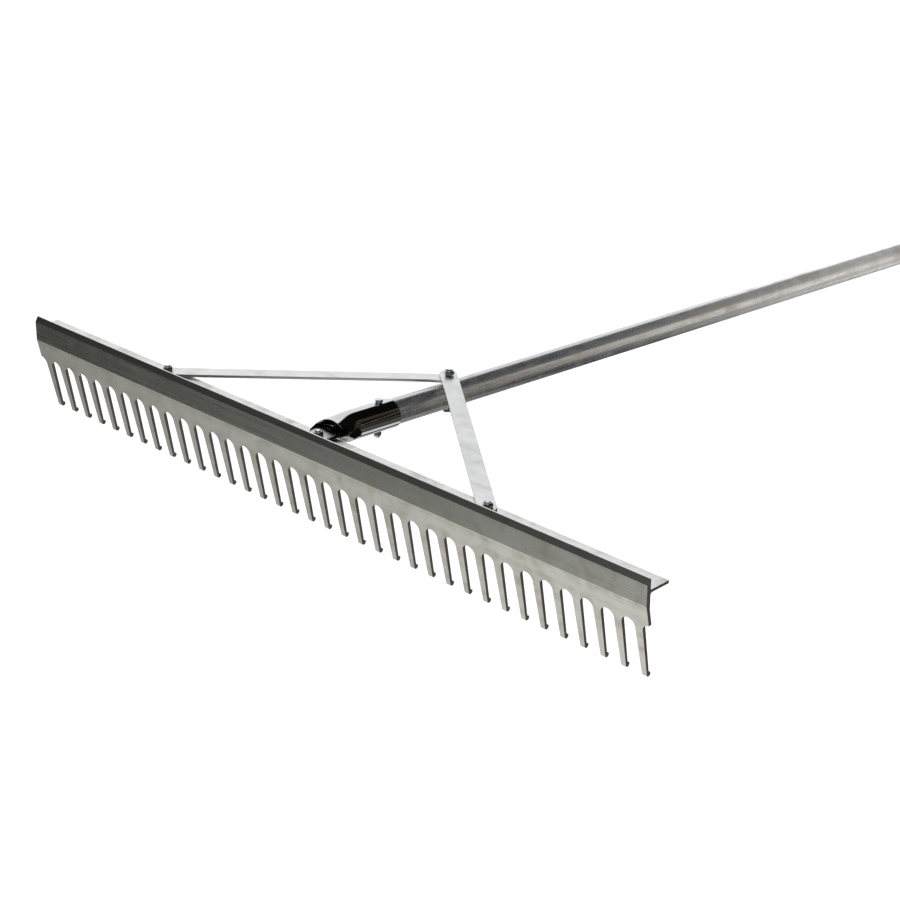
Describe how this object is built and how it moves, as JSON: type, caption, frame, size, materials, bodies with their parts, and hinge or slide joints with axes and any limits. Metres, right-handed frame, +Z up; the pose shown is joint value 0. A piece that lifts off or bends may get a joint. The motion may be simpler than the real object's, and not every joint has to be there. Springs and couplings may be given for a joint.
{
  "type": "landscape rake",
  "caption": "Landscape rake with an extruded toothed head, rear flange, tubular handle in a ferrule and two flat brace straps.",
  "frame": {"origin": "on the ground, under the middle of the rake's box, with the rake lying on its tooth tips and the end of its handle", "axes": "+X along the head, +Y from the head back along the handle, +Z up"},
  "size_m": [0.9144, 1.8966, 0.1241],
  "materials": {
    "head": "mill-finish extrusion, milled teeth",
    "strap": "mill-finish flat bar",
    "tube": "bright drawn tube",
    "ferrule": "bright plated steel",
    "fastener": "bright zinc plate",
    "cap": "moulded black plastic"
  },
  "bodies": {
    "root": {"rake_head": "head", "left_strap": "strap", "right_strap": "strap", "handle_tube": "tube", "handle_ferrule": "ferrule", "handle_end_cap": "cap", "left_strap_foot_bolt": "fastener", "left_strap_foot_nut": "fastener", "right_strap_foot_bolt": "fastener", "right_strap_foot_nut": "fastener", "ferrule_tab_bolt": "fastener", "ferrule_tab_nut": "fastener", "ferrule_cross_bolt": "fastener", "ferrule_cross_nut": "fastener", "strap_handle_bolt": "fastener", "strap_handle_nut": "fastener", "strap_washer": "fastener"}
  },
  "joints": []
}
